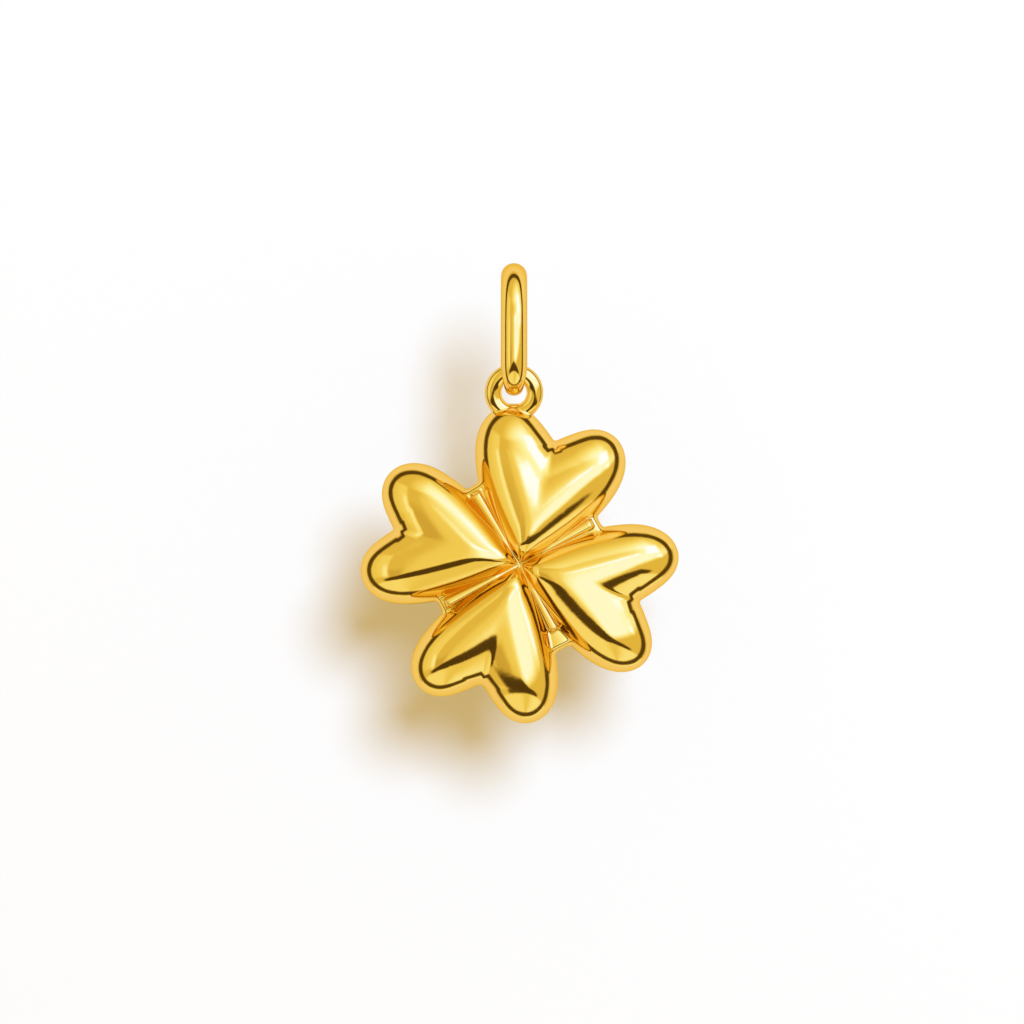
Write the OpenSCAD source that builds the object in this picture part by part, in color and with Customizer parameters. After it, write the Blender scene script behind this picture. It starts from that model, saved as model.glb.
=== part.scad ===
// Puffed four leaf clover pendant on a tapered oval bail.
// Millimetres, +Z up, +X to the right and the front towards -Y.
// The origin is the inside of the bail's top, where a chain carries it.

/* [Clover] */
// From the middle of the clover to the tip of a lobe
clover_reach = 7.45; // [6:0.05:11]
// Width of a lobe
lobe_width = 3.3; // [2.6:0.05:4]
// Height of a lobe's crest over the plane of the rim, where it is highest near the middle
crest_height = 1.87; // [1.3:0.01:2.4]
// How much lower the crest is at the tip of the lobe
crest_fall = 0.48; // [0:0.01:0.6]
// How far the crest bows towards the middle line of its leaf
crest_bow = 0.73; // [0.3:0.01:0.9]
// Height of the leaves over the plane of the rim where they meet in the middle
heart_height = 0.95; // [0.65:0.01:1.1]
// Depth of the plain back behind the plane of the rim
back_depth = 0.55; // [0.4:0.01:1]
// How far either side of a leaf's middle line the notch between its lobes is rounded
notch_round = 0.1; // [0.05:0.01:0.3]
// How much wider that rounding grows towards the middle of the clover
valley_round = 0.4; // [0.2:0.01:0.8]

/* [Webs and ribs] */
// From the middle of the clover to the end of the web between two leaves
web_length = 4.27; // [3.5:0.01:5.5]
// Height of a web over the plane of the rim
web_height = 0.58; // [0.45:0.01:0.75]
// From the middle of the clover to the end of a rib
rib_length = 4; // [3:0.05:5]
// Height of a rib over the plane of the rim
rib_height = 0.95; // [0.8:0.01:1.2]
// Width of a rib at its outer end
rib_width = 0.56; // [0.4:0.01:0.7]

/* [Eye] */
// Outer diameter of the eye
eye_outer = 2.74; // [2.4:0.02:4]
// Diameter of the eye's wire
eye_wire = 0.78; // [0.6:0.01:0.9]
// How far the eye sinks into the rim of the upper leaf
eye_sink = 0.78; // [0.5:0.01:1]
// Bearing of the eye from the middle of the clover, in degrees
eye_bearing = 91.9; // [85:0.1:100]
// How far the eye leans about its top, in degrees, which takes its foot back behind the leaf's rim
eye_lean = 12; // [0:1:15]
// Width of the solder across the foot of the eye
solder_width = 2.1; // [1.6:0.01:2.6]
// Thickness of that solder
solder_thick = 0.5; // [0.4:0.01:0.8]
// From the top of the eye back to the plane of the rim, which lets the clover hang plumb
rim_setback = 0.39; // [0:0.01:0.6]

/* [Bail] */
// Outer height of the oval ring
bail_outer = 6.21; // [5:0.01:8]
// Outer depth of the oval ring, front to back
bail_depth = 5; // [4.4:0.01:6]
// Thickness and width of the ring's wire at the top and the sides
bail_wire = 1.24; // [1:0.01:1.6]
// Thickness of the ring's wire at the bottom, where the eye hangs
bail_thin = 0.69; // [0.5:0.01:0.85]
// Width of the ring's wire there
bail_foot = 0.86; // [0.6:0.01:0.95]
// How far each side of the bottom the wire tapers, in degrees
bail_taper = 65; // [40:1:90]
// Running gap between the ring and the eye
running_gap = 0.04; // [0.02:0.01:0.1]

/* [Hidden] */
GOLD = [0.87, 0.66, 0.26];

// A row for each leaf: bearing of its middle line, angle from that line to each lobe,
// place of the lobe's widest point as a share of clover_reach,
// and width of the lobe as a share of lobe_width
LEAVES = [
    [74.2, 20.0, 0.73, 1.06],
    [164.6, 18.0, 0.76, 1.01],
    [252.4, 20.1, 0.78, 0.97],
    [342.8, 20.2, 0.74, 1.00]
];

// A row for each web and its rib: bearing, share of web_length, share of rib_length
WEBS = [
    [30, 0.99, 1.00],
    [122, 1.00, 1.01],
    [208, 0.99, 1.00],
    [298, 1.04, 0.90]
];

// Forms of the leaves
LOBE_ROOT = 0.02;        // least width of a lobe's outer flank, as a share of its full width
LOBE_SWELL = 0.65;       // power with which the outer flank widens from the middle of the clover
CREST_RISE = 0.2;        // where the crest is at its full height, as a share of the way to the widest point
FALL_POWER = 1.5;        // power with which the crest falls from the middle to the tip
TIP_SOFTNESS = 0.145;    // length over which a lobe's tip starts, as a share of clover_reach
SECTION = 0.42;          // power that makes the section across a lobe peaked
RIM_ROUND = 0.04;        // share of a lobe's height field over which its rim is round
VALLEY_REACH = 0.85;     // where the middle line's rounding is narrowest, as a share of clover_reach
VALLEY_LIMIT = 0.35;     // widest rounding of the middle line, as a share of the distance from the middle
VALLEY_LEAST = 0.003;    // narrowest rounding of the middle line, as a share of clover_reach
CLEFT_START = 0.87;      // where a lobe's inner flank starts to widen, as a share of clover_reach
CLEFT_SOFTNESS = 0.074;  // length over which it starts, as a share of clover_reach
CLEFT_SLOPE = 0.41;      // how much it widens for each unit of length
LEAF_BLEND = 0.07;       // soft edge between neighbouring leaves, as a share of the crest's square

// Forms of the webs and ribs
WEB_HALF = 0.375;        // half of a web's width, as a share of web_length
WEB_END = 0.07;          // rounded end of a web, as a share of web_length
RIB_END = 0.0625;        // rounded end of a rib, as a share of rib_length
RIB_NARROW = 0.3;        // width of a rib at the middle of the clover, as a share of rib_width
RIB_ROOT = 0.78;         // height of a rib there, as a share of rib_height
RIB_RISE = 0.4;          // where a rib is at its full height, as a share of rib_length
RIB_POWER = 4;           // power that makes the section across a rib flat on top
RIB_BLEND = 0.075;       // soft foot of a rib, as a share of its height's square

// How much of the eye's hole the solder fills, as a share of eye_wire
SOLDER_FILL = 0.08;

// Power of the bail's oval in its upper and lower half: two is an ellipse, and more is fuller
BAIL_TOP_FULLNESS = 2;
BAIL_LOW_FULLNESS = 3.2;

// Share of the bail wire's thickness that lies outside its widest line, at the front and the back
BAIL_PEAK = 0.69;

// Fineness of the faceted surfaces
HALF_RAYS = 22;          // rays between the middle of a leaf and the middle of a web
OUTLINE_STEPS = 44;      // steps that measure the outline between the same two lines
RAY_CROWDING = 0.5;      // how much closer the rays lie at the two ends of that stretch
FRONT_RINGS = 16;
BACK_RINGS = 6;
FRONT_CROWDING = 1.7;    // power that crowds the front's rings towards the rim
BACK_CROWDING = 2;       // the same for the back
BACK_EDGE = 0.36;        // height field at which the back is flat, as a share of the crest's square
INSIDE = 0.3;            // share of clover_reach that always lies inside the outline
OUTSIDE = 1.2;           // share of clover_reach that always lies outside it
BISECTIONS = 15;
BAIL_SIDES = 20;
BAIL_RINGS = 56;
SMOOTH = 96;

// Places
eye_radius = (eye_outer - eye_wire) / 2;
eye_hole = eye_outer / 2 - eye_wire;
bail_middle_z = bail_wire - bail_outer / 2;
bail_bottom_z = bail_middle_z - bail_outer / 2 + bail_thin;
eye_z = bail_bottom_z + running_gap - eye_hole;

// The height fields below are squares of heights: they blend like heights,
// and they pass through zero upright at the rim

function soft_max(a, b, k) = max(a, b) + pow(max(k - abs(a - b), 0), 2) / (4 * k);

function soft_max_of(fields, k, i = 0) =
    i == len(fields) - 1 ? fields[i] : soft_max(fields[i], soft_max_of(fields, k, i + 1), k);

// Distance along a bearing, and to its left
function along(x, z, bearing) = x * cos(bearing) + z * sin(bearing);
function beside(x, z, bearing) = z * cos(bearing) - x * sin(bearing);

// A value held between two bounds
function held(value, low, high) = min(max(value, low), high);

// Zero that turns into the distance itself, over a soft length
function eased(distance, soft) = (distance + norm([distance, soft])) / 2;

// Distance from a line, rounded off smoothly on either side of it, to half a width at least
function rounded(distance, width) =
    let (reach = 4 / 3 * width, share = min(distance / reach, 1))
    share < 1 ? reach * (3 + 6 * pow(share, 2) - pow(share, 4)) / 8 : distance;

// How wide the middle line of a leaf is rounded off
function valley_width(u) =
    let (widening = valley_round * held(1 - u / (VALLEY_REACH * clover_reach), 0, 1))
    min(notch_round + widening, VALLEY_LIMIT * max(u, 0) + VALLEY_LEAST * clover_reach);

// Height of a lobe's crest at a distance along the lobe
function crest_at(p, lobe_at) =
    let (rise = sin(90 * held(p / (CREST_RISE * lobe_at), 0, 1)))
    heart_height + (crest_height - heart_height) * rise
        - crest_fall * pow(held(p / clover_reach, 0, 1), FALL_POWER);

// A leaf is two lobes mirrored about its middle line, each with a bowed crest along its own axis
function leaf_field(x, z, leaf) =
    let (
        lobe_at = leaf[2] * clover_reach,
        half = leaf[3] * lobe_width / 2,
        u = along(x, z, leaf[0]),
        v = rounded(abs(beside(x, z, leaf[0])), valley_width(u)),
        p = u * cos(leaf[1]) + v * sin(leaf[1]),
        share = held(p / lobe_at, 0, 1),
        bow = crest_bow * sin(180 * sqrt(share)),
        q = v * cos(leaf[1]) - u * sin(leaf[1]) + bow,
        swell = max(pow(sin(90 * share), LOBE_SWELL), LOBE_ROOT),
        opening = CLEFT_SLOPE * eased(CLEFT_START * clover_reach - p, CLEFT_SOFTNESS * clover_reach),
        flank = q > 0 ? half * swell + bow : half + opening,
        soft = TIP_SOFTNESS * clover_reach,
        beyond = eased(p - lobe_at, soft) / eased(clover_reach - lobe_at, soft),
        level = 1 - beyond * beyond - pow(q / flank, 2)
    )
    pow(crest_at(p, lobe_at), 2) * level * pow((max(level, 0) + RIM_ROUND) / (1 + RIM_ROUND), SECTION);

// Share of the way into a rounded end that starts before the given reach
function into_end(distance, reach, share) = max(0, distance - reach * (1 - share)) / (reach * share);

function web_field(x, z, web) =
    let (
        a = along(x, z, web[0]),
        b = beside(x, z, web[0]),
        tip = into_end(a, web[1] * web_length, WEB_END)
    )
    a < 0 ? -1 : pow(web_height, 2) * (1 - tip * tip - pow(b / (WEB_HALF * web_length), 2));

// A ridge with a flat top that widens and rises away from the middle
function rib_field(x, z, web) =
    let (
        a = along(x, z, web[0]),
        b = beside(x, z, web[0]),
        tip = into_end(a, web[2] * rib_length, RIB_END),
        share = held(a / rib_length, 0, 1),
        half = rib_width / 2 * (RIB_NARROW + (1 - RIB_NARROW) * share),
        crest = rib_height * (RIB_ROOT + (1 - RIB_ROOT) * sin(90 * held(share / RIB_RISE, 0, 1))),
        rise = pow(crest, 2) - pow(web_height, 2)
    )
    a < 0 ? -1 : pow(crest, 2) * (1 - tip * tip) - rise * pow(abs(b) / half, RIB_POWER);

// Leaves and webs without the ribs: zero on the outline
function body_field(x, z) =
    soft_max_of(
        concat(
            [for (web = WEBS) web_field(x, z, web)],
            [for (leaf = LEAVES) leaf_field(x, z, leaf)]
        ),
        LEAF_BLEND * crest_height * crest_height
    );

function front_height(x, z) =
    let (ribs = max([for (web = WEBS) rib_field(x, z, web)]))
    sqrt(max(soft_max(body_field(x, z), ribs, RIB_BLEND * rib_height * rib_height), 0));

function back_height(x, z) =
    let (share = min(max(body_field(x, z), 0) / (BACK_EDGE * crest_height * crest_height), 1))
    back_depth * sqrt(1 - pow(1 - share, 2));

// Distance of the outline from the middle at a bearing
function outline_at(bearing, low = INSIDE * clover_reach, high = OUTSIDE * clover_reach, left = BISECTIONS) =
    let (middle = (low + high) / 2)
    left < 1 ? middle
    : body_field(middle * cos(bearing), middle * sin(bearing)) > 0
        ? outline_at(bearing, middle, high, left - 1)
        : outline_at(bearing, low, middle, left - 1);

// Bearings of the rays between two lines, spaced along the outline and closer at both ends
function rays_between(from, to) =
    let (
        bearings = [for (i = [0 : OUTLINE_STEPS]) from + (to - from) * i / OUTLINE_STEPS],
        spots = [for (b = bearings) outline_at(b) * [cos(b), sin(b)]],
        steps = [for (i = [1 : OUTLINE_STEPS]) norm(spots[i] - spots[i - 1])],
        lengths = running_sums(steps),
        table = [for (i = [0 : OUTLINE_STEPS]) [lengths[i] / lengths[OUTLINE_STEPS], bearings[i]]]
    )
    [for (i = [0 : HALF_RAYS - 1])
        let (share = i / HALF_RAYS)
        lookup(share - RAY_CROWDING * sin(360 * share) / 360 * 180 / PI, table)];

function running_sums(values, total = 0, i = 0) =
    i == len(values) ? [total] : concat([total], running_sums(values, total + values[i], i + 1));

// The lines that the rays must hit: the middle of each web and of each leaf, in turn
function guide_lines() =
    [for (i = [0 : len(WEBS) - 1]) each [WEBS[i][0], LEAVES[i][0]]];

function all_rays() =
    let (lines = guide_lines(), count = len(lines))
    [for (i = [0 : count - 1])
        let (next = i == count - 1 ? lines[0] + 360 : lines[i + 1])
        each rays_between(lines[i], next)];

// A band of triangles between two rings of points, each ring closed on itself
function band(first, second, count) =
    [for (i = [0 : count - 1])
        let (next = (i + 1) % count)
        each [[first + i, second + i, second + next], [first + i, second + next, first + next]]];

function flipped(faces) = [for (face = faces) [face[0], face[2], face[1]]];

// The closed surface of the four leaves, with the plane of the rim at y = 0
module leaves() {
    rays = all_rays();
    count = len(rays);
    rim = [for (b = rays) outline_at(b) * [cos(b), sin(b)]];
    front_rings = [for (j = [1 : FRONT_RINGS - 1])
        let (share = 1 - pow(1 - j / FRONT_RINGS, FRONT_CROWDING))
        each [for (p = rim) share * [p[0], 0, p[1]] - [0, front_height(share * p[0], share * p[1]), 0]]];
    back_rings = [for (j = [1 : BACK_RINGS - 1])
        let (share = 1 - pow(1 - j / BACK_RINGS, BACK_CROWDING))
        each [for (p = rim) share * [p[0], 0, p[1]] + [0, back_height(share * p[0], share * p[1]), 0]]];
    points = concat(
        [[0, -front_height(0, 0), 0]],
        front_rings,
        [for (p = rim) [p[0], 0, p[1]]],
        [[0, back_height(0, 0), 0]],
        back_rings
    );
    rim_start = 1 + (FRONT_RINGS - 1) * count;
    back_middle = rim_start + count;
    back_start = back_middle + 1;
    front_faces = concat(
        [for (i = [0 : count - 1]) [0, 1 + (i + 1) % count, 1 + i]],
        [for (j = [0 : FRONT_RINGS - 2]) each flipped(band(1 + j * count, 1 + (j + 1) * count, count))]
    );
    back_faces = concat(
        [for (i = [0 : count - 1]) [back_middle, back_start + i, back_start + (i + 1) % count]],
        [for (j = [0 : BACK_RINGS - 3]) each band(back_start + j * count, back_start + (j + 1) * count, count)],
        band(back_start + (BACK_RINGS - 2) * count, rim_start, count)
    );
    polyhedron(points = points, faces = concat(front_faces, back_faces), convexity = 6);
}

// The round wire of the eye, in the plane y = 0 about the origin
module eye_ring() {
    rotate([90, 0, 0])
        rotate_extrude($fn = SMOOTH)
            translate([eye_radius, 0])
                circle(d = eye_wire, $fn = SMOOTH / 2);
}

// A rounded bar of solder along x
module solder() {
    half = (solder_width - solder_thick) / 2;
    rotate([0, 90, 0])
        cylinder(d = solder_thick, h = 2 * half, center = true, $fn = SMOOTH / 2);
    for (side = [-1, 1])
        translate([side * half, 0, 0])
            sphere(d = solder_thick, $fn = SMOOTH / 2);
}

// The eye and the solder across its foot
module soldered_eye() {
    eye_ring();
    translate([0, 0, -eye_hole - solder_thick / 2 + SOLDER_FILL * eye_wire])
        solder();
}

// The cast clover with its soldered eye, one piece of metal
module clover() {
    centre_distance = outline_at(eye_bearing) + eye_outer / 2 - eye_sink;
    color(GOLD)
        translate([0, 0, eye_z]) {
            translate([0, 0, eye_radius])
                rotate([eye_lean, 0, 0])
                    translate([0, 0, -eye_radius])
                        soldered_eye();
            translate([-centre_distance * cos(eye_bearing), rim_setback, -centre_distance * sin(eye_bearing)])
                leaves();
        }
}

// Size of the bail's wire at an angle from its bottom, which grows from its foot
function bail_size(angle, foot) =
    let (turn = min(min(angle, 360 - angle) / bail_taper, 1))
    foot + (bail_wire - foot) * (1 - cos(180 * turn)) / 2;

// A power that keeps the sign
function signed_power(value, power) = sign(value) * pow(abs(value), power);

// Power of the oval in the half of the bail where a height about its middle lies
function bail_fullness(height) = height < 0 ? BAIL_LOW_FULLNESS : BAIL_TOP_FULLNESS;

// Point on the bail's outer edge at an angle from its bottom, as y and z about its middle
function bail_edge(angle) =
    let (fullness = bail_fullness(-cos(angle)))
    [
        bail_depth / 2 * signed_power(sin(angle), 2 / fullness),
        -bail_outer / 2 * signed_power(cos(angle), 2 / fullness)
    ];

// Outward direction of that edge
function bail_outward(edge) =
    let (
        fullness = bail_fullness(edge[1]),
        steepness = [
            signed_power(2 * edge[0] / bail_depth, fullness - 1) / bail_depth,
            signed_power(2 * edge[1] / bail_outer, fullness - 1) / bail_outer
        ]
    )
    steepness / norm(steepness);

// How far inwards a point round the wire lies, as a share of the wire's thickness
function bail_inward(angle, side) =
    let (peak = 0.5 + (BAIL_PEAK - 0.5) * pow(sin(angle), 2))
    peak - (cos(side) > 0 ? peak : 1 - peak) * cos(side);

// A ring whose outer edge is an oval, with a thin foot and a section that is peaked in front and behind
module bail() {
    points = [for (i = [0 : BAIL_RINGS - 1])
        let (
            angle = 360 * i / BAIL_RINGS,
            thickness = bail_size(angle, bail_thin),
            width = bail_size(angle, bail_foot),
            edge = bail_edge(angle),
            outward = bail_outward(edge)
        )
        each [for (j = [0 : BAIL_SIDES - 1])
            let (side = 360 * j / BAIL_SIDES, place = edge - thickness * bail_inward(angle, side) * outward)
            [width / 2 * sin(side), place[0], bail_middle_z + place[1]]]];
    faces = [for (i = [0 : BAIL_RINGS - 1])
        each flipped(band(i * BAIL_SIDES, ((i + 1) % BAIL_RINGS) * BAIL_SIDES, BAIL_SIDES))];
    color(GOLD)
        polyhedron(points = points, faces = faces, convexity = 6);
}

clover();
bail();
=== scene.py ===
# Polished gold four leaf clover pendant on a tapered oval bail, hanging in front of a pale wall.
# Metres, +Z up, +X to the right and the front towards -Y. The origin is the inside of the bail's top.
import math

import bmesh
import bpy
import numpy as np
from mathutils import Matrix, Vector


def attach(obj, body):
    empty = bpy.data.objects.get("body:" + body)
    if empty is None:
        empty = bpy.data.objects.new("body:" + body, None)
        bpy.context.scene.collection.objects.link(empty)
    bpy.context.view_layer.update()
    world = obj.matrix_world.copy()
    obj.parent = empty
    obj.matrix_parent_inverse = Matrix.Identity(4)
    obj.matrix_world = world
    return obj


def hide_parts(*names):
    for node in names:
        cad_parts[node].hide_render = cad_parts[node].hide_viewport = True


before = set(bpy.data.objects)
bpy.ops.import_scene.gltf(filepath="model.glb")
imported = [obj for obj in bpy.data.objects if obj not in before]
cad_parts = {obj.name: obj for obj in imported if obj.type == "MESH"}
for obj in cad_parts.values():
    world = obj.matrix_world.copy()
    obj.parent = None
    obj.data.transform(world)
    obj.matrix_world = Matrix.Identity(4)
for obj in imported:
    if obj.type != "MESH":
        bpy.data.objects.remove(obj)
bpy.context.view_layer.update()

MM = 0.001

# The photograph's frame
PHOTO_SIDE = 1024
PX_PER_MM = 21.4
BAIL_TOP_PX = (514, 289.6)
CAMERA_DISTANCE = 250 * MM
SENSOR = 36

# Clover, in millimetres from its middle
REACH = 7.45
LOBE_WIDTH = 3.3
CREST = 1.87
CREST_FALL = 0.48
CREST_BOW = 0.73
HEART = 0.95
BACK_DEPTH = 0.55
NOTCH_ROUND = 0.1
VALLEY_ROUND = 0.4
WEB_LENGTH = 4.27
WEB_HEIGHT = 0.58
RIB_LENGTH = 4.0
RIB_HEIGHT = 0.95
RIB_WIDTH = 0.56
RIM_SETBACK = 0.39

# Bearing, angle to each lobe, place of the widest point and width, as shares of REACH and LOBE_WIDTH
LEAVES = [
    (74.2, 20.0, 0.73, 1.06),
    (164.6, 18.0, 0.76, 1.01),
    (252.4, 20.1, 0.78, 0.97),
    (342.8, 20.2, 0.74, 1.00),
]

# Bearing, length of the web and of its rib as shares of WEB_LENGTH and RIB_LENGTH
WEBS = [
    (30, 0.99, 1.00),
    (122, 1.00, 1.01),
    (208, 0.99, 1.00),
    (298, 1.04, 0.90),
]

# Forms of the leaves
LOBE_ROOT = 0.02  # least width of a lobe's outer flank, as a share of its full width
LOBE_SWELL = 0.65  # power with which the outer flank widens from the middle of the clover
CREST_RISE = 0.2  # where the crest is at its full height, as a share of the way to the widest point
FALL_POWER = 1.5  # power with which the crest falls from the middle to the tip
TIP_SOFTNESS = 0.145  # length over which a lobe's tip starts, as a share of REACH
SECTION = 0.42  # power that makes the section across a lobe peaked
RIM_ROUND = 0.04  # share of a lobe's height field over which its rim is round
VALLEY_REACH = 0.85  # where the middle line's rounding is narrowest, as a share of REACH
VALLEY_LIMIT = 0.35  # widest rounding of the middle line, as a share of the distance from the middle
VALLEY_LEAST = 0.003  # narrowest rounding of the middle line, as a share of REACH
CLEFT_START = 0.87  # where a lobe's inner flank starts to widen, as a share of REACH
CLEFT_SOFTNESS = 0.074  # length over which it starts, as a share of REACH
CLEFT_SLOPE = 0.41  # how much it widens for each unit of length
LEAF_BLEND = 0.07  # soft edge between neighbouring leaves, as a share of the crest's square
BACK_EDGE = 0.36  # height field at which the back is flat, as a share of the crest's square

# Forms of the webs and ribs
WEB_HALF = 0.375  # half of a web's width, as a share of WEB_LENGTH
WEB_END = 0.07  # rounded end of a web, as a share of WEB_LENGTH
RIB_END = 0.0625  # rounded end of a rib, as a share of RIB_LENGTH
RIB_NARROW = 0.3  # width of a rib at the middle of the clover, as a share of RIB_WIDTH
RIB_ROOT = 0.78  # height of a rib there, as a share of RIB_HEIGHT
RIB_RISE = 0.4  # where a rib is at its full height, as a share of RIB_LENGTH
RIB_POWER = 4  # power that makes the section across a rib flat on top
RIB_BLEND = 0.075  # soft foot of a rib, as a share of its height's square

# Shares of REACH that always lie inside and outside the outline
INSIDE = 0.3
OUTSIDE = 1.2

# Eye and bail, in millimetres and degrees
EYE_OUTER = 2.74
EYE_WIRE = 0.78
EYE_SINK = 0.78
EYE_BEARING = 91.9
EYE_LEAN = 12
SOLDER_WIDTH = 2.1
SOLDER_THICK = 0.5
SOLDER_FILL = 0.08  # how much of the eye's hole the solder fills, as a share of EYE_WIRE
BAIL_OUTER = 6.21
BAIL_DEPTH = 5.0
BAIL_WIRE = 1.24
BAIL_THIN = 0.69
BAIL_FOOT = 0.86
BAIL_TAPER = 65
RUNNING_GAP = 0.04

# Power of the bail's oval in its upper and lower half: two is an ellipse, and more is fuller
BAIL_TOP_FULLNESS = 2.0
BAIL_LOW_FULLNESS = 3.2

# Share of the bail wire's thickness that lies outside its widest line, at the front and the back
BAIL_PEAK = 0.69

# Smoothed copy of the neck: how far it reaches from the bottom of the eye's hole, its grain,
# how strongly and how often it is smoothed, and how far it is sunk
NECK_HALF_WIDTH = 1.6
NECK_HALF_DEPTH = 1.2
NECK_DOWN = 1.1
NECK_UP = 0.4
NECK_GRAIN = 0.025
NECK_SMOOTHING = 0.5
NECK_ROUNDS = 150
NECK_INSET = 0.006

# Fineness of the surfaces
HALVINGS = 24
FINE_BEARINGS = 400
RAYS_PER_STRETCH = 100
RAY_CROWDING = 0.75
FRONT_RINGS = 76
BACK_RINGS = 16
EYE_ROUNDS = 160
EYE_SIDES = 56
BAIL_ROUNDS = 320
BAIL_SIDES = 64
SOLDER_ROUNDS = 64
SOLDER_STEPS = 24

# Places
EYE_RADIUS = (EYE_OUTER - EYE_WIRE) / 2
EYE_HOLE = EYE_OUTER / 2 - EYE_WIRE
BAIL_MIDDLE_Z = BAIL_WIRE - BAIL_OUTER / 2
EYE_Z = BAIL_MIDDLE_Z - BAIL_OUTER / 2 + BAIL_THIN + RUNNING_GAP - EYE_HOLE

# The height fields below are squares of heights: they blend like heights,
# and they pass through zero upright at the rim


def soft_max(a, b, k):
    """The larger of two values, with a soft change from one to the other."""
    return np.maximum(a, b) + np.maximum(k - np.abs(a - b), 0) ** 2 / (4 * k)


def turned(x, z, bearing):
    """Distances along a bearing and to its left."""
    angle = math.radians(bearing)
    return x * math.cos(angle) + z * math.sin(angle), z * math.cos(angle) - x * math.sin(angle)


def eased(distance, soft):
    """Zero that turns into the distance itself, over a soft length."""
    return (distance + np.hypot(distance, soft)) / 2


def rounded(distance, width):
    """Distance from a line, rounded off smoothly on either side of it, to half a width at least."""
    reach = 4 / 3 * width
    share = np.minimum(distance / reach, 1)
    return np.where(share < 1, reach * (3 + 6 * share ** 2 - share ** 4) / 8, distance)


def valley_width(u):
    """How wide the middle line of a leaf is rounded off."""
    widening = VALLEY_ROUND * np.clip(1 - u / (VALLEY_REACH * REACH), 0, 1)
    return np.minimum(NOTCH_ROUND + widening, VALLEY_LIMIT * np.maximum(u, 0) + VALLEY_LEAST * REACH)


def crest_at(p, lobe_at):
    """Height of a lobe's crest at a distance along the lobe."""
    rise = np.sin(np.pi / 2 * np.clip(p / (CREST_RISE * lobe_at), 0, 1))
    return HEART + (CREST - HEART) * rise - CREST_FALL * np.clip(p / REACH, 0, 1) ** FALL_POWER


def leaf_field(x, z, leaf):
    """Two lobes mirrored about the leaf's middle line, each with a bowed crest along its own axis."""
    bearing, spread, place, width = leaf
    lobe_at = place * REACH
    half = width * LOBE_WIDTH / 2
    u, v = turned(x, z, bearing)
    v = rounded(np.abs(v), valley_width(u))
    angle = math.radians(spread)
    p = u * math.cos(angle) + v * math.sin(angle)
    share = np.clip(p / lobe_at, 0, 1)
    bow = CREST_BOW * np.sin(np.pi * np.sqrt(share))
    q = v * math.cos(angle) - u * math.sin(angle) + bow
    swell = np.maximum(np.sin(np.pi / 2 * share) ** LOBE_SWELL, LOBE_ROOT)
    opening = CLEFT_SLOPE * eased(CLEFT_START * REACH - p, CLEFT_SOFTNESS * REACH)
    flank = np.where(q > 0, half * swell + bow, half + opening)
    soft = TIP_SOFTNESS * REACH
    beyond = eased(p - lobe_at, soft) / eased(REACH - lobe_at, soft)
    level = 1 - beyond ** 2 - (q / flank) ** 2
    peaked = ((np.maximum(level, 0) + RIM_ROUND) / (1 + RIM_ROUND)) ** SECTION
    return crest_at(p, lobe_at) ** 2 * level * peaked


def into_end(distance, reach, share):
    """Share of the way into a rounded end that starts before the given reach."""
    return np.maximum(0, distance - reach * (1 - share)) / (reach * share)


def web_field(x, z, web):
    a, b = turned(x, z, web[0])
    tip = into_end(a, web[1] * WEB_LENGTH, WEB_END)
    field = WEB_HEIGHT ** 2 * (1 - tip ** 2 - (b / (WEB_HALF * WEB_LENGTH)) ** 2)
    return np.where(a < 0, -1, field)


def rib_field(x, z, web):
    """A ridge with a flat top that widens and rises away from the middle."""
    a, b = turned(x, z, web[0])
    tip = into_end(a, web[2] * RIB_LENGTH, RIB_END)
    share = np.clip(a / RIB_LENGTH, 0, 1)
    half = RIB_WIDTH / 2 * (RIB_NARROW + (1 - RIB_NARROW) * share)
    crest = RIB_HEIGHT * (RIB_ROOT + (1 - RIB_ROOT) * np.sin(np.pi / 2 * np.clip(share / RIB_RISE, 0, 1)))
    field = crest ** 2 * (1 - tip ** 2) - (crest ** 2 - WEB_HEIGHT ** 2) * (np.abs(b) / half) ** RIB_POWER
    return np.where(a < 0, -1, field)


def body_field(x, z):
    """Leaves and webs without the ribs: zero on the outline."""
    parts = [web_field(x, z, web) for web in WEBS] + [leaf_field(x, z, leaf) for leaf in LEAVES]
    field = parts.pop()
    while parts:
        field = soft_max(parts.pop(), field, LEAF_BLEND * CREST ** 2)
    return field


def front_height(x, z):
    ribs = np.max([rib_field(x, z, web) for web in WEBS], axis=0)
    return np.sqrt(np.maximum(soft_max(body_field(x, z), ribs, RIB_BLEND * RIB_HEIGHT ** 2), 0))


def back_height(x, z):
    share = np.clip(body_field(x, z) / (BACK_EDGE * CREST ** 2), 0, 1)
    return BACK_DEPTH * np.sqrt(1 - (1 - share) ** 2)


def outline_at(bearings):
    """Distance of the outline from the middle, by halving."""
    angles = np.radians(bearings)
    low = np.full(angles.shape, INSIDE * REACH)
    high = np.full(angles.shape, OUTSIDE * REACH)
    for _ in range(HALVINGS):
        middle = (low + high) / 2
        inside = body_field(middle * np.cos(angles), middle * np.sin(angles)) > 0
        low = np.where(inside, middle, low)
        high = np.where(inside, high, middle)
    return (low + high) / 2


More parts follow.
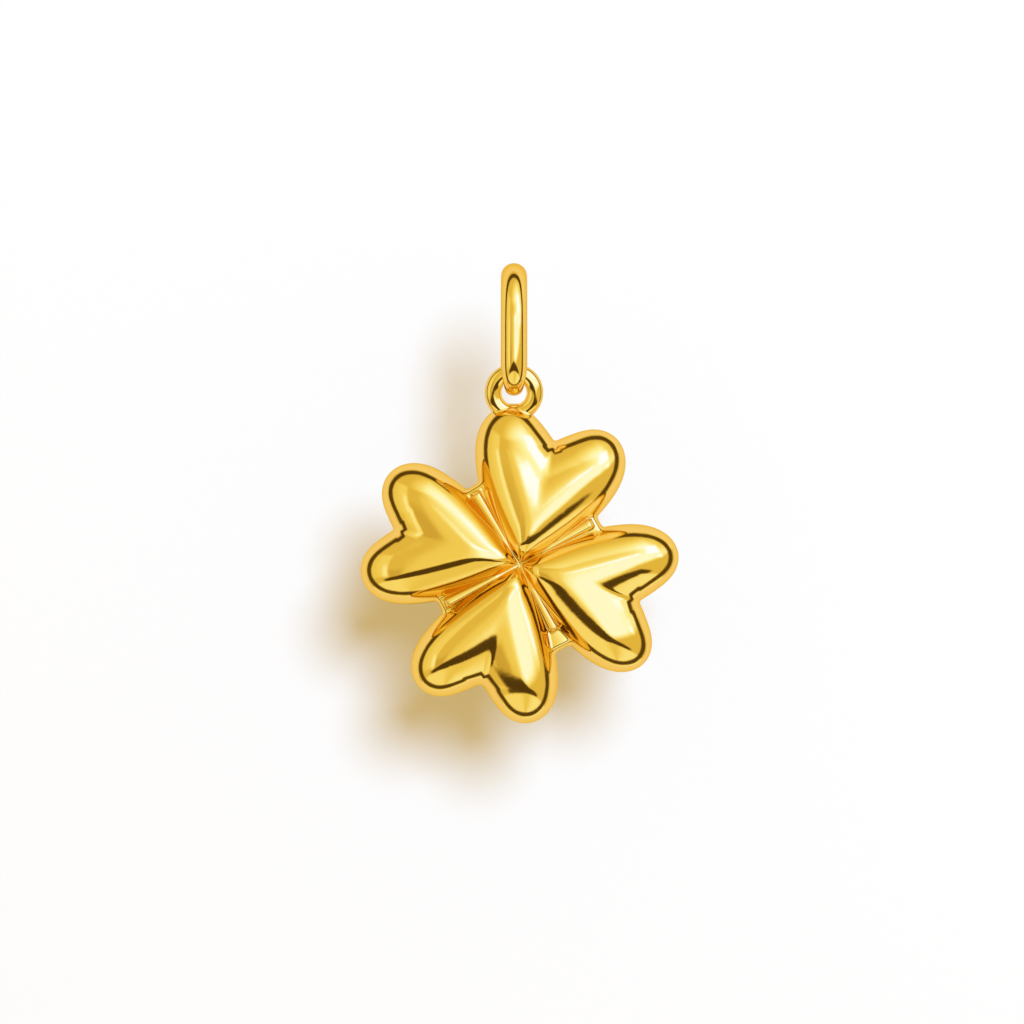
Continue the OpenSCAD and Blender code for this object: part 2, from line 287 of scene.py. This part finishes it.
def all_rays():
    """Bearings spaced along the outline, which hit the middle of every leaf and web."""
    lines = sorted([web[0] for web in WEBS] + [leaf[0] for leaf in LEAVES])
    lines.append(lines[0] + 360)
    rays = []
    for start, end in zip(lines[:-1], lines[1:]):
        fine = np.linspace(start, end, FINE_BEARINGS)
        reach = outline_at(fine)
        spots = np.stack([reach * np.cos(np.radians(fine)), reach * np.sin(np.radians(fine))], 1)
        lengths = np.concatenate([[0], np.cumsum(np.linalg.norm(np.diff(spots, axis=0), axis=1))])
        share = np.arange(RAYS_PER_STRETCH) / RAYS_PER_STRETCH
        share = share - RAY_CROWDING * np.sin(2 * np.pi * share) / (2 * np.pi)
        rays.append(np.interp(share, lengths / lengths[-1], fine))
    return np.concatenate(rays)


def new_object(name, points, faces):
    mesh = bpy.data.meshes.new(name)
    mesh.from_pydata([tuple(p) for p in points], [], faces)
    mesh.validate()
    mesh.update()
    mesh.polygons.foreach_set("use_smooth", [True] * len(mesh.polygons))
    obj = bpy.data.objects.new(name, mesh)
    bpy.context.collection.objects.link(obj)
    return obj


def band(first, second, count, reverse=False):
    """Faces between two rings of points, each ring closed on itself."""
    faces = []
    for i in range(count):
        after = (i + 1) % count
        face = (first + i, second + i, second + after, first + after)
        faces.append(face[::-1] if reverse else face)
    return faces


def make_leaves():
    """The closed surface of the four leaves, in its place under the eye."""
    rays = np.radians(all_rays())
    reach = outline_at(np.degrees(rays))
    rim_x = reach * np.cos(rays)
    rim_z = reach * np.sin(rays)
    count = len(rays)
    points = [(0, -float(front_height(np.zeros(1), np.zeros(1))[0]), 0)]
    faces = [(0, 1 + i, 1 + (i + 1) % count) for i in range(count)]
    for j in range(1, FRONT_RINGS + 1):
        share = 1 - (1 - j / FRONT_RINGS) ** 2
        height = front_height(share * rim_x, share * rim_z) if j < FRONT_RINGS else np.zeros(count)
        points += list(zip(share * rim_x, -height, share * rim_z))
        if j < FRONT_RINGS:
            faces += band(1 + (j - 1) * count, 1 + j * count, count)
    rim_start = 1 + (FRONT_RINGS - 1) * count
    back_start = len(points)
    for j in range(BACK_RINGS - 1, 0, -1):
        share = 1 - (1 - j / BACK_RINGS) ** 2
        height = back_height(share * rim_x, share * rim_z)
        points += list(zip(share * rim_x, height, share * rim_z))
    ring = rim_start
    for j in range(BACK_RINGS - 1):
        faces += band(ring, back_start + j * count, count)
        ring = back_start + j * count
    points.append((0, float(back_height(np.zeros(1), np.zeros(1))[0]), 0))
    middle = len(points) - 1
    faces += [(middle, ring + (i + 1) % count, ring + i) for i in range(count)]
    distance = float(outline_at(np.array([EYE_BEARING]))[0]) + EYE_OUTER / 2 - EYE_SINK
    away = math.radians(EYE_BEARING)
    place = np.array([-distance * math.cos(away), RIM_SETBACK, EYE_Z - distance * math.sin(away)])
    return new_object("clover_gold", (np.array(points) + place) * MM, faces)


def leaned(points):
    """Points of the eye, leaning about the middle of its top wire with its foot to the back."""
    lean = math.radians(EYE_LEAN)
    top_z = EYE_Z + EYE_RADIUS
    x, y, z = np.array(points).T
    z = z - top_z
    back = y * math.cos(lean) - z * math.sin(lean)
    up = y * math.sin(lean) + z * math.cos(lean)
    return np.stack([x, back, up + top_z], 1)


def tube_faces(rounds, sides, reverse=False):
    """Faces of a wire that closes on itself."""
    faces = []
    for i in range(rounds):
        faces += band(i * sides, (i + 1) % rounds * sides, sides, reverse)
    return faces


def make_eye():
    points = []
    for i in range(EYE_ROUNDS):
        a = 2 * math.pi * i / EYE_ROUNDS
        for j in range(EYE_SIDES):
            b = 2 * math.pi * j / EYE_SIDES
            r = EYE_RADIUS + EYE_WIRE / 2 * math.cos(b)
            points.append((r * math.cos(a), EYE_WIRE / 2 * math.sin(b), EYE_Z + r * math.sin(a)))
    return new_object("eye", leaned(points) * MM, tube_faces(EYE_ROUNDS, EYE_SIDES))


def signed_power(value, power):
    """A power that keeps the sign."""
    return math.copysign(abs(value) ** power, value)


def make_bail():
    """A ring whose outer edge is an oval, with a peaked section and a thin foot."""
    half_depth = BAIL_DEPTH / 2
    half_height = BAIL_OUTER / 2
    points = []
    for i in range(BAIL_ROUNDS):
        degrees = 360 * i / BAIL_ROUNDS
        turn = min(min(degrees, 360 - degrees) / BAIL_TAPER, 1)
        full = (1 - math.cos(math.pi * turn)) / 2
        thickness = BAIL_THIN + (BAIL_WIRE - BAIL_THIN) * full
        width = BAIL_FOOT + (BAIL_WIRE - BAIL_FOOT) * full
        a = math.radians(degrees)
        peak = 0.5 + (BAIL_PEAK - 0.5) * math.sin(a) ** 2
        fullness = BAIL_LOW_FULLNESS if math.cos(a) > 0 else BAIL_TOP_FULLNESS
        y = half_depth * signed_power(math.sin(a), 2 / fullness)
        z = -half_height * signed_power(math.cos(a), 2 / fullness)
        outward_y = signed_power(y / half_depth, fullness - 1) / half_depth
        outward_z = signed_power(z / half_height, fullness - 1) / half_height
        length = math.hypot(outward_y, outward_z)
        for j in range(BAIL_SIDES):
            b = 2 * math.pi * j / BAIL_SIDES
            share = peak if math.cos(b) > 0 else 1 - peak
            inward = thickness * (peak - share * math.cos(b)) / length
            up = BAIL_MIDDLE_Z + z - inward * outward_z
            points.append((width / 2 * math.sin(b), y - inward * outward_y, up))
    return new_object("bail_gold", np.array(points) * MM, tube_faces(BAIL_ROUNDS, BAIL_SIDES, True))


def make_solder():
    """A rounded bar along X across the foot of the eye."""
    rounds = SOLDER_ROUNDS
    steps = SOLDER_STEPS
    radius = SOLDER_THICK / 2
    half = SOLDER_WIDTH / 2 - radius
    middle_z = EYE_Z - EYE_HOLE - radius + SOLDER_FILL * EYE_WIRE
    turns = [math.pi / 2 * i / steps for i in range(1, steps)]
    cap = [(half + radius * math.cos(t), radius * math.sin(t)) for t in turns]
    profile = [(-x, wide) for x, wide in cap]
    profile += [(half * (2 * i / steps - 1), radius) for i in range(steps + 1)]
    profile += cap[::-1]
    points = []
    for x, wide in profile:
        for i in range(rounds):
            a = 2 * math.pi * i / rounds
            points.append((x, wide * math.cos(a), middle_z + wide * math.sin(a)))
    faces = []
    for i in range(len(profile) - 1):
        faces += band(i * rounds, (i + 1) * rounds, rounds)
    faces.append(tuple(range(rounds)))
    faces.append(tuple(range(len(points) - 1, len(points) - rounds - 1, -1)))
    return new_object("solder", leaned(points) * MM, faces)


def outward(obj):
    """Turns every face outwards."""
    bm = bmesh.new()
    bm.from_mesh(obj.data)
    bmesh.ops.recalc_face_normals(bm, faces=bm.faces)
    bm.to_mesh(obj.data)
    bm.free()


def box(name, low, high):
    """A closed box between two corners."""
    corners = [(x, y, z) for x in (low[0], high[0]) for y in (low[1], high[1]) for z in (low[2], high[2])]
    sides = [(0, 1, 3, 2), (4, 6, 7, 5), (0, 4, 5, 1), (2, 3, 7, 6), (0, 2, 6, 4), (1, 5, 7, 3)]
    return new_object(name, np.array(corners) * MM, sides)


def apply(obj, kind, **settings):
    """Adds a modifier and applies it to the mesh."""
    modifier = obj.modifiers.new("step", kind)
    for name, value in settings.items():
        setattr(modifier, name, value)
    bpy.context.view_layer.objects.active = obj
    bpy.ops.object.modifier_apply(modifier=modifier.name)


def fuse(target, *others):
    """One closed surface from several that overlap."""
    for other in others:
        apply(target, "BOOLEAN", operation="UNION", solver="EXACT", object=other)
        bpy.data.objects.remove(other, do_unlink=True)
    return target


def fillet_neck(clover):
    """Fills the creases between eye, solder and leaf with a smoothed copy of the neck."""
    copy = clover.copy()
    copy.data = clover.data.copy()
    bpy.context.collection.objects.link(copy)
    hole_z = EYE_Z - EYE_HOLE
    limits = box(
        "limits",
        (-NECK_HALF_WIDTH, -NECK_HALF_DEPTH, hole_z - NECK_DOWN),
        (NECK_HALF_WIDTH, NECK_HALF_DEPTH, hole_z + NECK_UP),
    )
    outward(limits)
    apply(copy, "BOOLEAN", operation="INTERSECT", solver="EXACT", object=limits)
    bpy.data.objects.remove(limits, do_unlink=True)
    apply(copy, "REMESH", mode="VOXEL", voxel_size=NECK_GRAIN * MM)
    apply(copy, "SMOOTH", factor=NECK_SMOOTHING, iterations=NECK_ROUNDS)
    apply(copy, "DISPLACE", strength=-NECK_INSET * MM, mid_level=0)
    copy.data.polygons.foreach_set("use_smooth", [True] * len(copy.data.polygons))
    return fuse(clover, copy)


class Nodes:
    """A short way to write shader nodes."""

    def __init__(self, tree):
        self.tree = tree
        tree.nodes.clear()

    def add(self, kind, **settings):
        node = self.tree.nodes.new(kind)
        for name, value in settings.items():
            setattr(node, name, value)
        return node

    def set(self, node, **inputs):
        for name, value in inputs.items():
            socket = node.inputs[name.replace("_", " ")]
            self.put(socket, value)

    def put(self, socket, value):
        if isinstance(value, bpy.types.NodeSocket):
            self.tree.links.new(value, socket)
        else:
            socket.default_value = value

    def math(self, operation, *values):
        node = self.add("ShaderNodeMath", operation=operation)
        for socket, value in zip(node.inputs, values):
            self.put(socket, value)
        return node.outputs[0]

    def dot(self, vector, direction):
        node = self.add("ShaderNodeVectorMath", operation="DOT_PRODUCT")
        self.put(node.inputs[0], vector)
        self.put(node.inputs[1], tuple(direction))
        return node.outputs["Value"]

    def smooth(self, value, low, high):
        """From zero to one as the value goes from the first bound to the second, in either direction."""
        node = self.add("ShaderNodeMapRange", interpolation_type="SMOOTHSTEP")
        self.put(node.inputs["Value"], value)
        self.put(node.inputs["From Min"], low)
        self.put(node.inputs["From Max"], high)
        return node.outputs["Result"]

    def less(self, value, other):
        return self.math("SUBTRACT", value, other)

    def times(self, value, factor):
        return self.math("MULTIPLY", value, factor)

    def blend(self, amount, first, second):
        """From the first value to the second as the amount grows from zero to one."""
        return self.math("ADD", self.times(self.less(1.0, amount), first), self.times(amount, second))

    def window(self, value, low, high, soft):
        """One between two bounds, with soft edges."""
        return self.times(
            self.smooth(value, low - soft, low + soft),
            self.smooth(value, high + soft, high - soft),
        )

    def mix(self, amount, first, second):
        """From the first colour to the second as the amount grows from zero to one."""
        node = self.add("ShaderNodeMix", data_type="RGBA")
        colours = [s for s in node.inputs if s.type == "RGBA"]
        self.put(node.inputs[0], amount)
        self.put(colours[0], first if isinstance(first, bpy.types.NodeSocket) else (*first, 1))
        self.put(colours[1], second if isinstance(second, bpy.types.NodeSocket) else (*second, 1))
        return [s for s in node.outputs if s.type == "RGBA"][0]


# Polished gold: two close colours, the tint at its edges, and how smooth and how rough it gets
GOLD = (0.94, 0.605, 0.14)
GOLD_CLOUDED = (0.92, 0.59, 0.15)
GOLD_EDGE = (0.86, 0.66, 0.3, 1)
GOLD_SMOOTHEST = 0.05
GOLD_ROUGHEST = 0.11

# Clouds, waves and grains in the gold for each metre, and the height of waves and grains
CLOUDS = 900.0
WAVES = 1600.0
GRAINS = 14000.0
WAVE_HEIGHT = 0.0035 * MM
GRAIN_HEIGHT = 0.0001 * MM


def gold_material():
    material = bpy.data.materials.new("polished_gold")
    material.use_nodes = True
    n = Nodes(material.node_tree)
    coords = n.add("ShaderNodeTexCoord")
    cloud = n.add("ShaderNodeTexNoise")
    n.set(cloud, Vector=coords.outputs["Object"], Scale=CLOUDS, Detail=3.0)
    waves = n.add("ShaderNodeTexNoise")
    n.set(waves, Vector=coords.outputs["Object"], Scale=WAVES, Detail=2.0)
    grain = n.add("ShaderNodeTexNoise")
    n.set(grain, Vector=coords.outputs["Object"], Scale=GRAINS, Detail=2.0)
    bump = n.add("ShaderNodeBump")
    n.set(bump, Height=waves.outputs["Fac"], Distance=WAVE_HEIGHT, Strength=1.0)
    fine = n.add("ShaderNodeBump")
    n.set(fine, Height=grain.outputs["Fac"], Distance=GRAIN_HEIGHT, Strength=1.0)
    n.set(fine, Normal=bump.outputs["Normal"])
    rough = n.add("ShaderNodeMapRange")
    n.put(rough.inputs["Value"], grain.outputs["Fac"])
    n.put(rough.inputs["To Min"], GOLD_SMOOTHEST)
    n.put(rough.inputs["To Max"], GOLD_ROUGHEST)
    shader = n.add("ShaderNodeBsdfPrincipled")
    n.set(shader, Base_Color=n.mix(cloud.outputs["Fac"], GOLD, GOLD_CLOUDED), Metallic=1.0)
    n.set(shader, Roughness=rough.outputs["Result"], Normal=fine.outputs["Normal"])
    n.set(shader, Specular_Tint=GOLD_EDGE)
    out = n.add("ShaderNodeOutputMaterial")
    n.put(out.inputs["Surface"], shader.outputs["BSDF"])
    return material


def dress(obj, material):
    obj.data.materials.clear()
    obj.data.materials.append(material)


# Pale wall behind the pendant, which fades out between two distances from its middle
WALL_Y = 13 * MM
WALL_FULL = 42 * MM
WALL_FADED = 62 * MM
WALL_COLOUR = (0.8, 0.8, 0.8, 1)

# What the viewer sees past the wall, and what fills the shadow on it
PALE = (0.93, 0.92, 0.9)
FILL = (0.77, 0.56, 0.235)

# Light for the shadow, and how far to the left and down the shadow falls in the photograph
SHADOW_LEFT_PX = 49
SHADOW_DOWN_PX = 67
LIGHT_SIZE = 0.24
LIGHT_DISTANCE = 0.8
LIGHT_POWER = 6.85
LIGHT_COLOUR = (0.48, 0.68, 1.0)


def wall_material():
    """Matt white in front, clear from behind and past the distance where the wall fades out."""
    material = bpy.data.materials.new("pale_wall")
    material.use_nodes = True
    n = Nodes(material.node_tree)
    coords = n.add("ShaderNodeTexCoord")
    length = n.add("ShaderNodeVectorMath", operation="LENGTH")
    n.put(length.inputs[0], coords.outputs["Object"])
    diffuse = n.add("ShaderNodeBsdfDiffuse")
    n.set(diffuse, Color=WALL_COLOUR)
    clear = n.add("ShaderNodeBsdfTransparent")
    behind = n.add("ShaderNodeNewGeometry")
    far = n.smooth(length.outputs["Value"], WALL_FULL, WALL_FADED)
    hidden = n.math("MAXIMUM", far, behind.outputs["Backfacing"])
    pick = n.add("ShaderNodeMixShader")
    n.put(pick.inputs[0], hidden)
    n.put(pick.inputs[1], diffuse.outputs[0])
    n.put(pick.inputs[2], clear.outputs[0])
    out = n.add("ShaderNodeOutputMaterial")
    n.put(out.inputs["Surface"], pick.outputs[0])
    return material


def make_wall(middle_z):
    size = WALL_FADED
    wall = new_object(
        "stage_wall",
        [(-size, 0, -size), (size, 0, -size), (size, 0, size), (-size, 0, size)],
        [(0, 1, 2, 3)],
    )
    wall.location = (0, WALL_Y, middle_z)
    dress(wall, wall_material())


# Tones of the studio, from its dark edges to its broad light: place on the scale, brightness and colour
TONES = [
    (0.0, (0.05, 0.033, 0.01)),
    (0.2, (0.28, 0.21, 0.07)),
    (0.35, (0.59, 0.49, 0.16)),
    (0.47, (0.82, 0.76, 0.31)),
    (0.57, (0.96, 0.98, 0.55)),
    (0.67, (1.02, 1.14, 0.95)),
    (0.77, (1.05, 1.33, 1.64)),
    (0.87, (1.07, 1.51, 2.6)),
    (1.0, (1.12, 1.72, 6.3)),
]
TONE_TOP = 7.0

# Places on that scale
ROOM = 0.47
GLOW = 0.91
LEFT_WALL = 0.4
FAR_LEFT = 0.54
FARTHEST_LEFT = 0.6
FLOOR_LEFT = 0.65
FLOOR_RIGHT = 0.71
FLOOR_MIDDLE = 0.53
DARK_SHAPE = 0.03
DARK_EDGE = 0.04

# Lamps of the studio, in degrees seen from the pendant: left and right bound and their softness,
# lower and upper bound and theirs, how much these two climb for each degree to the right, and tone
LAMPS = [
    (42, 70, 5, 17, 43, 4, 0, 1.0),
    (3, 27, 4, 7, 12, 2, 0.4, 1.0),
    (62, 74, 3, 3, 13, 4, 0, 0.97),
    (-60, -50, 3, -23, 12, 8, 0, 0.76),
]


def studio_tone(n, direction):
    """Tone of the studio in a direction. Bounds are degrees to the right and up, seen from the pendant."""
    up = n.dot(direction, (0, 0, 1))
    right = n.dot(direction, (1, 0, 0))
    away = n.dot(direction, (0, 1, 0))
    side = n.math("DEGREES", n.math("ARCTAN2", right, n.math("MULTIPLY", away, -1.0)))
    height = n.math("DEGREES", n.math("ARCSINE", up))

    # Pale glow in front and to the right, whose left edge leans
    level_part = n.blend(n.smooth(side, -8, 11), n.times(n.smooth(side, -27, -10), 0.22), 1.0)
    middle_part = n.smooth(side, -25, 48)
    upper_part = n.smooth(side, -52, 35)
    glow = n.blend(n.smooth(height, 14, 26), level_part, middle_part)
    glow = n.blend(n.smooth(height, 32, 42), glow, upper_part)
    # Its lower edge climbs to the right, and it fades upwards and to the far right
    climb = n.times(n.math("MAXIMUM", n.less(side, 20.0), 0.0), 0.5)
    glow = n.times(glow, n.smooth(n.less(height, climb), -27, -14))
    glow = n.times(glow, n.smooth(height, 86, 44))
    far_right = n.blend(n.smooth(height, 16, 40), 0.75, 0.3)
    glow = n.times(glow, n.blend(n.smooth(side, 50, 78), 1.0, far_right))
    tone = n.blend(glow, ROOM, GLOW)

    # Darker wall low on the left, and yellow light beyond it
    lower_left = n.times(n.window(side, -49, -22, 5), n.smooth(height, 6, -10))
    tone = n.blend(lower_left, tone, LEFT_WALL)
    strip = n.times(n.smooth(side, -45, -51), n.window(height, -23, 38, 4))
    tone = n.blend(strip, tone, n.blend(n.smooth(side, -62, -82), FARTHEST_LEFT, FAR_LEFT))

    for start, end, side_soft, low, high, height_soft, slope, lamp_tone in LAMPS:
        level = n.less(height, n.times(side, slope))
        lamp = n.times(n.window(side, start, end, side_soft), n.window(level, low, high, height_soft))
        tone = n.blend(lamp, tone, lamp_tone)

    # Pale floor below, dimmer in the middle
    dip = n.times(n.smooth(side, -28, 8), n.smooth(side, 42, 14))
    floor_tone = n.blend(dip, n.blend(n.smooth(side, 30, 60), FLOOR_LEFT, FLOOR_RIGHT), FLOOR_MIDDLE)
    tone = n.blend(n.smooth(height, -37, -42), tone, floor_tone)
    # Dark shape in front under the viewer, highest in the middle
    ahead = n.smooth(away, -0.3, -0.5)
    fall = n.times(n.math("ABSOLUTE", n.math("ADD", side, 4.0)), 0.2)
    below_peak = n.smooth(n.math("ADD", height, fall), -17.5, -21.5)
    above_floor = n.smooth(height, -40.5, -37.0)
    tone = n.blend(n.times(n.times(below_peak, above_floor), ahead), tone, DARK_SHAPE)
    # Dark edge of the room, level with the wall
    return n.blend(n.window(away, -0.03, 0.19, 0.045), tone, DARK_EDGE)


def make_world():
    world = bpy.data.worlds.new("studio")
    bpy.context.scene.world = world
    world.cycles.sampling_method = "NONE"
    world.use_nodes = True
    n = Nodes(world.node_tree)
    coords = n.add("ShaderNodeTexCoord")
    ramp = n.add("ShaderNodeValToRGB")
    stops = ramp.color_ramp.elements
    while len(stops) < len(TONES):
        stops.new(0.5)
    for stop, (place, colour) in zip(stops, TONES):
        stop.position = place
        stop.color = (*[value / TONE_TOP for value in colour], 1)
    n.put(ramp.inputs["Fac"], studio_tone(n, coords.outputs["Generated"]))
    scaled = n.add("ShaderNodeVectorMath", operation="SCALE")
    n.put(scaled.inputs[0], ramp.outputs["Color"])
    n.put(scaled.inputs["Scale"], TONE_TOP)
    # What lights the pale wall, and what the viewer sees past it
    path = n.add("ShaderNodeLightPath")
    colour = n.mix(path.outputs["Is Diffuse Ray"], scaled.outputs["Vector"], FILL)
    colour = n.mix(path.outputs["Is Camera Ray"], colour, PALE)
    background = n.add("ShaderNodeBackground")
    n.set(background, Color=colour, Strength=1.0)
    out = n.add("ShaderNodeOutputWorld")
    n.put(out.inputs["Surface"], background.outputs[0])


def make_shadow_light(middle_z):
    """A soft light that only the pale wall sees, for the photograph's shadow."""
    data = bpy.data.lights.new("shadow_light", "AREA")
    data.shape = "DISK"
    data.size = LIGHT_SIZE
    data.energy = LIGHT_POWER
    data.color = LIGHT_COLOUR
    light = bpy.data.objects.new("shadow_light", data)
    bpy.context.collection.objects.link(light)
    left = SHADOW_LEFT_PX / PX_PER_MM
    down = SHADOW_DOWN_PX / PX_PER_MM
    towards = Vector((left, -WALL_Y / MM, down)).normalized()
    light.location = Vector((0, WALL_Y, middle_z)) + towards * LIGHT_DISTANCE
    light.rotation_euler = (-towards).to_track_quat("-Z", "Y").to_euler()
    light.visible_glossy = False
    light.visible_camera = False


def make_camera():
    middle_x = (PHOTO_SIDE / 2 - BAIL_TOP_PX[0]) / PX_PER_MM * MM
    middle_z = (BAIL_TOP_PX[1] - PHOTO_SIDE / 2) / PX_PER_MM * MM
    view_width = PHOTO_SIDE / PX_PER_MM * MM
    data = bpy.data.cameras.new("camera")
    data.sensor_width = SENSOR
    data.lens = SENSOR * CAMERA_DISTANCE / view_width
    data.clip_start = 0.01
    data.clip_end = 10
    camera = bpy.data.objects.new("camera", data)
    bpy.context.collection.objects.link(camera)
    camera.location = (middle_x, -CAMERA_DISTANCE, middle_z)
    camera.rotation_euler = (math.radians(90), 0, 0)
    bpy.context.scene.camera = camera
    return middle_z


gold = gold_material()
leaves = make_leaves()
eye = make_eye()
solder = make_solder()
bail = make_bail()
for piece in (leaves, eye, solder, bail):
    outward(piece)
clover = fillet_neck(fuse(leaves, eye, solder))
for piece, node in ((clover, "clover"), (bail, "bail")):
    dress(piece, gold)
    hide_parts(node)
    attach(piece, node)

# The bail is left out of the clover's mirror image, as in the photograph
bail.visible_glossy = False

picture_middle_z = make_camera()
make_wall(picture_middle_z)
make_world()
make_shadow_light(picture_middle_z)

scene = bpy.context.scene
scene.view_settings.view_transform = "Standard"
scene.view_settings.look = "None"
scene.view_settings.exposure = 0
scene.view_settings.gamma = 1
